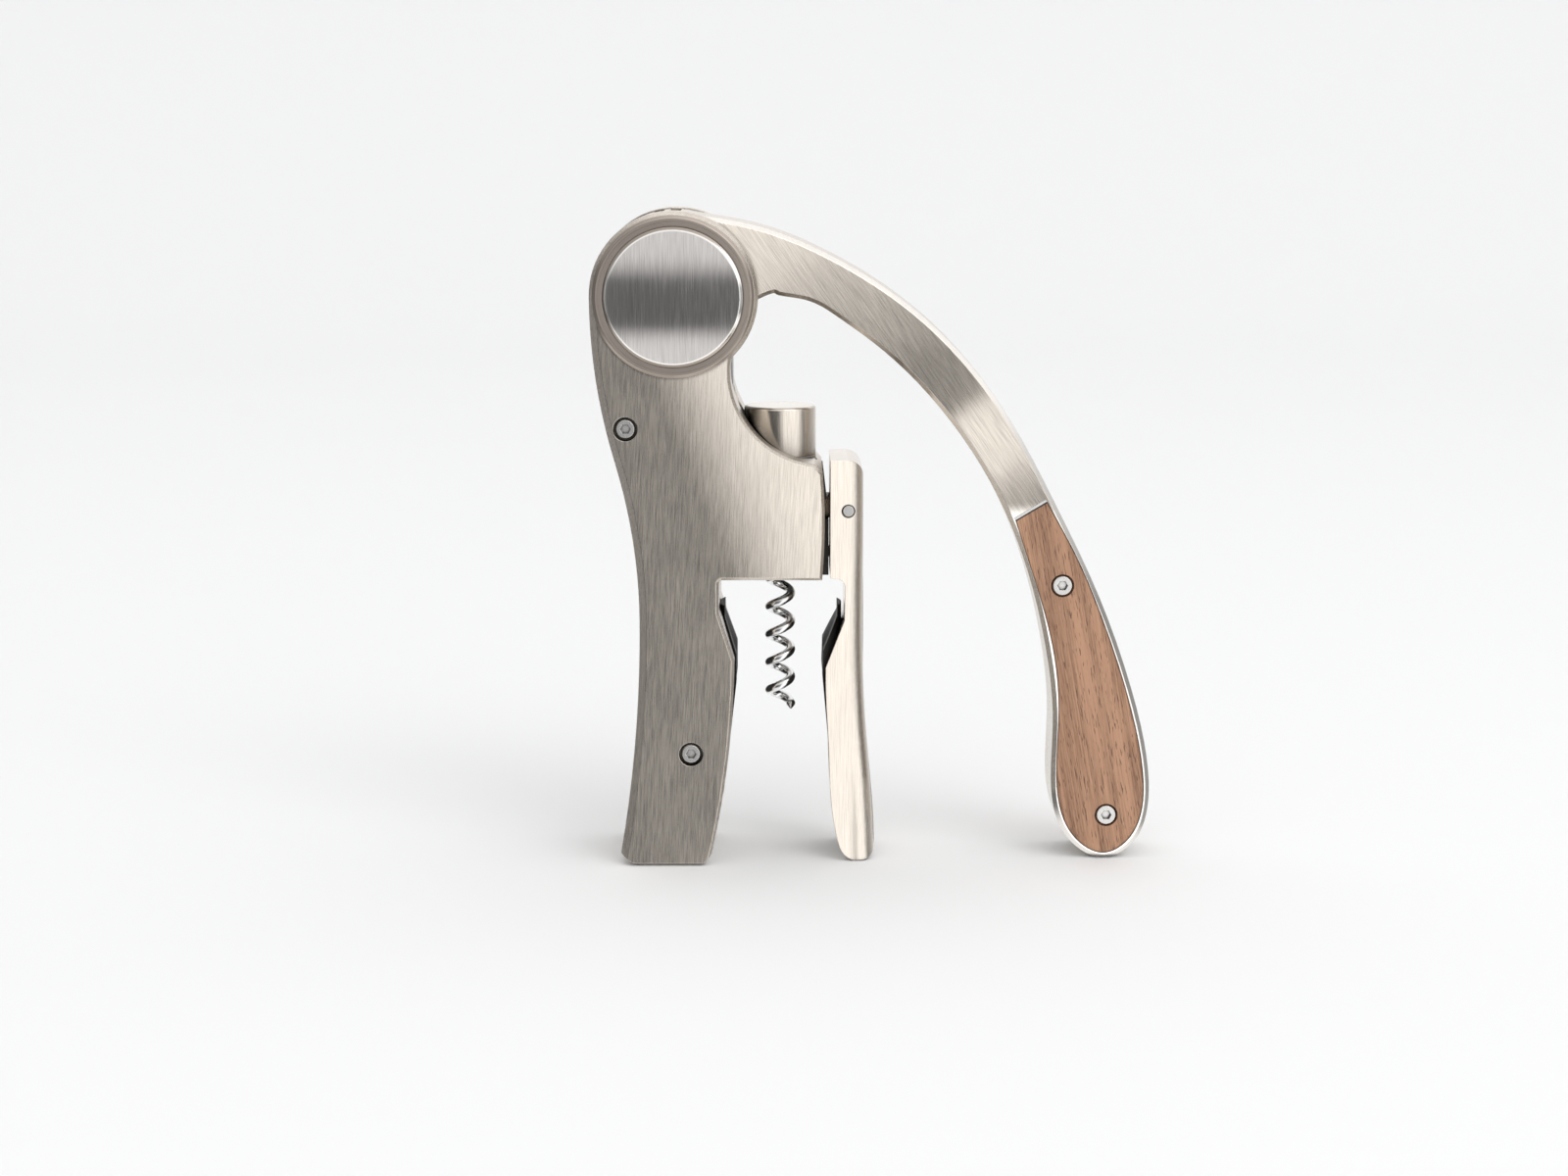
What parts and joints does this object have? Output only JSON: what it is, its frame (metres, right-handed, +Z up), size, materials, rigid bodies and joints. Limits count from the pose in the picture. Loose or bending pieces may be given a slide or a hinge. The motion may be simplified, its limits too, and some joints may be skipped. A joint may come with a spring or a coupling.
{
  "type": "lever corkscrew",
  "caption": "Rack-and-pinion lever corkscrew: a two-shell body with a bottle leg, a hinged jaw, a sliding worm carriage and a curved lever with wooden scales.",
  "frame": {"origin": "on the worm's axis, at the seat where the bottle's mouth rests", "axes": "+Z up along the worm's axis, +X from the leg to the lever's handle, -Y towards the front"},
  "size_m": [0.1561, 0.0448, 0.182],
  "materials": {
    "satin_nickel": "cast zinc alloy plated with satin nickel, brushed lengthwise",
    "lever_nickel": "satin nickel, brushed across the arm, with polished edges",
    "jaw_nickel": "satin nickel, brushed lengthwise",
    "head_nickel": "turned and brushed satin nickel",
    "flange_nickel": "satin nickel, turned",
    "disc_steel": "stainless steel, brushed upright, with a polished chamfer",
    "screw_steel": "polished stainless steel",
    "machined_steel": "machined steel",
    "worm_steel": "polished hardened steel wire",
    "bush_bronze": "sintered bronze",
    "black_nylon": "moulded black nylon",
    "walnut": "walnut, sanded and oiled, grain along the handle",
    "pad_rubber": "black elastomer, matt"
  },
  "bodies": {
    "housing": {"housing_front": "satin_nickel", "housing_rear": "satin_nickel", "housing_screws": "screw_steel", "housing_nuts": "screw_steel", "housing_dowels": "machined_steel", "hub_flange_front": "flange_nickel", "hub_flange_rear": "flange_nickel", "hub_disc_front": "disc_steel", "hub_disc_rear": "disc_steel", "pivot_axle": "machined_steel", "axle_screws": "screw_steel", "worm_nut": "black_nylon", "nut_screws": "screw_steel", "neck_pad": "pad_rubber", "lever_buffer": "pad_rubber", "jaw_buffer": "pad_rubber", "jaw_spring": "machined_steel"},
    "lever": {"lever_arm": "lever_nickel", "drive_gear": "machined_steel", "gear_pins": "machined_steel", "pivot_bushes": "bush_bronze", "handle_scale_front": "walnut", "handle_scale_rear": "walnut", "handle_screws_front": "screw_steel", "handle_screws_rear": "screw_steel"},
    "carriage": {"carriage": "machined_steel", "carriage_head": "head_nickel", "head_pin": "machined_steel", "rack": "machined_steel", "rack_screws": "screw_steel", "thrust_washers": "bush_bronze", "collar_clip": "machined_steel"},
    "worm": {"worm": "worm_steel", "worm_collar": "bush_bronze"},
    "jaw": {"jaw": "jaw_nickel", "jaw_pin": "screw_steel", "jaw_pad": "pad_rubber"}
  },
  "joints": [
    {"name": "lever_swing", "type": "hinge", "parent": "housing", "child": "lever", "pos_m": [-0.029, 0, 0.078], "axis": [0, -1, 0], "range_deg": [0, 170]},
    {"name": "carriage_slide", "type": "slide", "parent": "housing", "child": "carriage", "axis": [0, 0, 1], "range_m": [0, 0.03709]},
    {"name": "worm_spin", "type": "hinge", "parent": "carriage", "child": "worm", "pos_m": [0, 0, 0.018], "axis": [0, 0, 1], "range_deg": [0, 1669]},
    {"name": "jaw_swing", "type": "hinge", "parent": "housing", "child": "jaw", "pos_m": [0.0189, 0, 0.0185], "axis": [0, -1, 0], "range_deg": [0, 8]}
  ],
  "couplings": [
    {"joint": "carriage_slide", "follows": "lever_swing", "m_per_rad": 0.0125},
    {"joint": "worm_spin", "follows": "lever_swing", "ratio": 9.8175}
  ]
}
